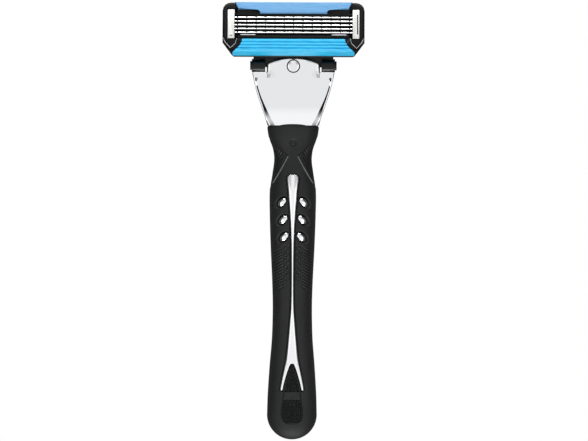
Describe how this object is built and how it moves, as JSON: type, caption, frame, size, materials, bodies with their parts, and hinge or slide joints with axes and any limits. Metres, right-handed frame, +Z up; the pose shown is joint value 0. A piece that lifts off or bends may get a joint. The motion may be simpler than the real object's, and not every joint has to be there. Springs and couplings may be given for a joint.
{
  "type": "cartridge razor",
  "caption": "Wet-shaving razor: chromed neck, black rubber grip, and a pivoting multi-blade cartridge on a rocking, releasable head.",
  "frame": {"origin": "centre of the razor's box in X and Y, on the surface that it lies on with its blades up", "axes": "+X across the cartridge to the right, +Y along the handle towards the cartridge, +Z up through the blade side"},
  "size_m": [0.043, 0.1326, 0.0214],
  "materials": {
    "chromed_zinc": "bright chrome plate over die-cast zinc, soft mirror",
    "satin_silver": "satin chrome plate, fine even haze",
    "black_rubber": "moulded thermoplastic rubber, matte with a faint sheen",
    "soft_rubber": "softer moulded rubber with a raised texture, matte",
    "black_abs": "moulded ABS, fine spark texture",
    "black_acetal": "moulded acetal, smooth and slightly waxy",
    "housing_plastic": "moulded glass-filled plastic, smooth black",
    "spring_steel": "bright drawn spring steel",
    "blade_steel": "ground stainless strip, bright",
    "clip_aluminium": "folded aluminium strip, bright rolled finish",
    "lubricating_strip": "light blue water-soluble polymer, waxy",
    "guard_elastomer": "cyan moulded elastomer, satin"
  },
  "bodies": {
    "handle": {"handle_core": "chromed_zinc", "grip_body": "black_rubber", "side_grip_left": "soft_rubber", "side_grip_right": "soft_rubber", "tail_pad": "soft_rubber", "spine_inlay": "satin_silver", "grip_studs": "chromed_zinc", "back_cover": "black_abs", "ejector_spring": "spring_steel", "centring_spring": "spring_steel"},
    "button": {"release_button": "black_abs", "ejector_slide": "black_acetal"},
    "head": {"head_carrier": "black_acetal", "pivot_ball": "chromed_zinc", "plunger_spring": "spring_steel"},
    "plunger": {"plunger": "spring_steel"},
    "connector": {"connector": "black_acetal"},
    "cartridge": {"cartridge_housing": "housing_plastic", "clip_left": "clip_aluminium", "clip_right": "clip_aluminium", "lube_strip": "lubricating_strip", "guard_rubber": "guard_elastomer", "comb_bar": "housing_plastic", "guard_bar": "blade_steel", "blade_1": "blade_steel", "blade_2": "blade_steel", "blade_3": "blade_steel", "blade_4": "blade_steel", "blade_5": "blade_steel"}
  },
  "joints": [
    {"name": "head_rock", "type": "hinge", "parent": "handle", "child": "head", "pos_m": [0, 0.0469, 0.0112], "axis": [0, 0, 1], "range_deg": [-6, 6], "stiffness_Nm_per_rad": 0.05, "deforming": ["centring_spring"]},
    {"name": "button_slide", "type": "slide", "parent": "handle", "child": "button", "axis": [0, 1, 0], "range_m": [0, 0.004], "stiffness_N_per_m": 150, "springref_m": -0.002, "deforming": ["ejector_spring"]},
    {"name": "cartridge_dock", "type": "slide", "parent": "head", "child": "connector", "axis": [0, 1, 0], "range_m": [0, 0.004]},
    {"name": "cartridge_pivot", "type": "hinge", "parent": "connector", "child": "cartridge", "pos_m": [0, 0.054, 0.0135], "axis": [-1, 0, 0], "range_deg": [0, 40], "stiffness_Nm_per_rad": 0.02, "springref_deg": -17.19},
    {"name": "plunger_slide", "type": "slide", "parent": "head", "child": "plunger", "axis": [0, -1, 0], "range_m": [0, 0.0021], "deforming": ["plunger_spring"]}
  ],
  "couplings": [
    {"joint": "cartridge_dock", "follows": "button_slide", "ratio": 1},
    {"joint": "plunger_slide", "follows": "cartridge_pivot", "m_per_rad": 0.0028648}
  ]
}
